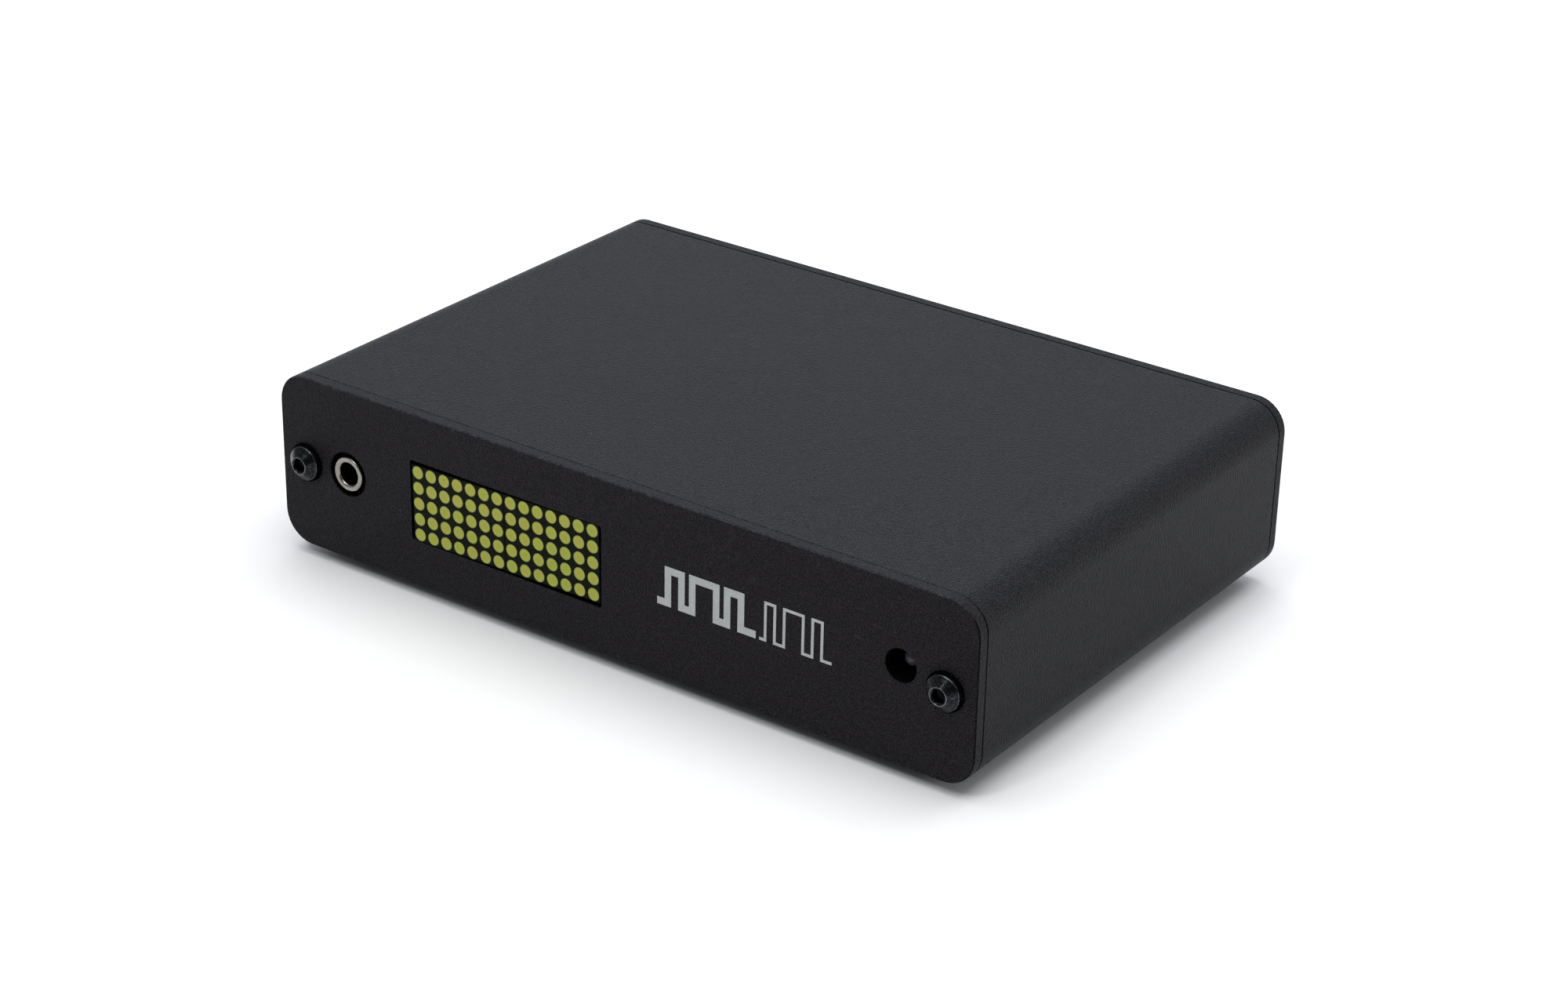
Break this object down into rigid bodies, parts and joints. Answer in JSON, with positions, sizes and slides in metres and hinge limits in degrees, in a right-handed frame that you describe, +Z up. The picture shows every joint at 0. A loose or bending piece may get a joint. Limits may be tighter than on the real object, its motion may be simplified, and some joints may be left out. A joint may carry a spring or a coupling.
{
  "type": "logic analyzer",
  "caption": "Compact bench logic analyzer: black anodised sleeve with screwed end panels, dot-matrix display, phone jack and power inlet at the front, USB and probe sockets at the rear.",
  "frame": {"origin": "centre of the footprint, at the underside of the rubber feet", "axes": "+X to the user's right seen from the front, +Y from the front panel to the rear panel, +Z up"},
  "size_m": [0.126, 0.088, 0.03],
  "materials": {
    "case_anodised": "fine matt black anodised",
    "panel_anodised": "smooth matt black anodised",
    "screw_black": "black oxide, lightly oiled",
    "washer_black": "black oxide",
    "foot_rubber": "matt rubber",
    "display_face": "matt black with fine texture",
    "display_dot": "translucent yellow-green resin",
    "nickel": "nickel plating, slightly worn",
    "tinned": "tinned",
    "gold_plated": "thin gold plating",
    "spring_bronze": "phosphor bronze, nickel flash",
    "board_green": "solder mask over copper",
    "connector_black": "moulded, fine texture",
    "connector_white": "moulded",
    "chip_epoxy": "moulded epoxy",
    "can_aluminium": "bright",
    "ceramic_tan": "fired ceramic",
    "ferrite_grey": "ferrite"
  },
  "bodies": {
    "case": {"case_extrusion": "case_anodised", "front_panel": "panel_anodised", "rear_panel": "panel_anodised", "front_screws": "screw_black", "rear_screws": "screw_black", "front_washers": "washer_black", "rear_washers": "washer_black", "rubber_feet": "foot_rubber", "display_housing_left": "display_face", "display_housing_right": "display_face", "display_dots_left": "display_dot", "display_dots_right": "display_dot", "display_pins": "tinned", "display_board": "board_green", "display_driver_chips": "chip_epoxy", "display_link_header": "connector_black", "display_link_pins": "gold_plated", "phone_jack_housing": "connector_black", "phone_jack_bushing": "nickel", "phone_jack_terminals": "tinned", "power_jack_housing": "connector_black", "power_jack_pin": "nickel", "power_jack_terminals": "tinned", "usb_shell": "nickel", "usb_insulator": "connector_white", "usb_terminals": "tinned", "probe_header_shroud": "connector_black", "probe_header_pins": "gold_plated", "main_board": "board_green", "logic_chip": "chip_epoxy", "memory_chip": "chip_epoxy", "usb_interface_chip": "chip_epoxy", "input_buffer_chips": "chip_epoxy", "voltage_regulator": "chip_epoxy", "chip_leads": "tinned", "capacitor_bases": "connector_black", "capacitor_cans": "can_aluminium", "power_inductor": "ferrite_grey", "crystal_can": "can_aluminium", "ceramic_capacitors": "ceramic_tan", "chip_resistors": "chip_epoxy"},
    "jack_tip_spring": {"phone_jack_tip_spring": "spring_bronze"},
    "jack_ring_spring": {"phone_jack_ring_spring": "spring_bronze"},
    "power_spring": {"power_jack_spring": "spring_bronze"},
    "usb_upper_leaves": {"usb_upper_contacts": "gold_plated"},
    "usb_lower_leaves": {"usb_lower_contacts": "gold_plated"}
  },
  "joints": [
    {"name": "tip_spring_flex", "type": "hinge", "parent": "case", "child": "jack_tip_spring", "pos_m": [-0.04687, -0.027, 0.01625], "axis": [0, 0, 1], "range_deg": [0, 9.5], "stiffness_Nm_per_rad": 0.03},
    {"name": "ring_spring_flex", "type": "hinge", "parent": "case", "child": "jack_ring_spring", "pos_m": [-0.05267, -0.03725, 0.01625], "axis": [0, 0, 1], "range_deg": [0, 7.5], "stiffness_Nm_per_rad": 0.03},
    {"name": "power_spring_flex", "type": "hinge", "parent": "case", "child": "power_spring", "pos_m": [0.05063, -0.0304, 0.01416], "axis": [1, 0, 0], "range_deg": [0, 5], "stiffness_Nm_per_rad": 0.05},
    {"name": "usb_upper_flex", "type": "hinge", "parent": "case", "child": "usb_upper_leaves", "pos_m": [-0.038, 0.03342, 0.01913], "axis": [-1, 0, 0], "range_deg": [0, 3], "stiffness_Nm_per_rad": 0.03},
    {"name": "usb_lower_flex", "type": "hinge", "parent": "case", "child": "usb_lower_leaves", "pos_m": [-0.038, 0.03342, 0.01697], "axis": [1, 0, 0], "range_deg": [0, 3], "stiffness_Nm_per_rad": 0.03}
  ]
}
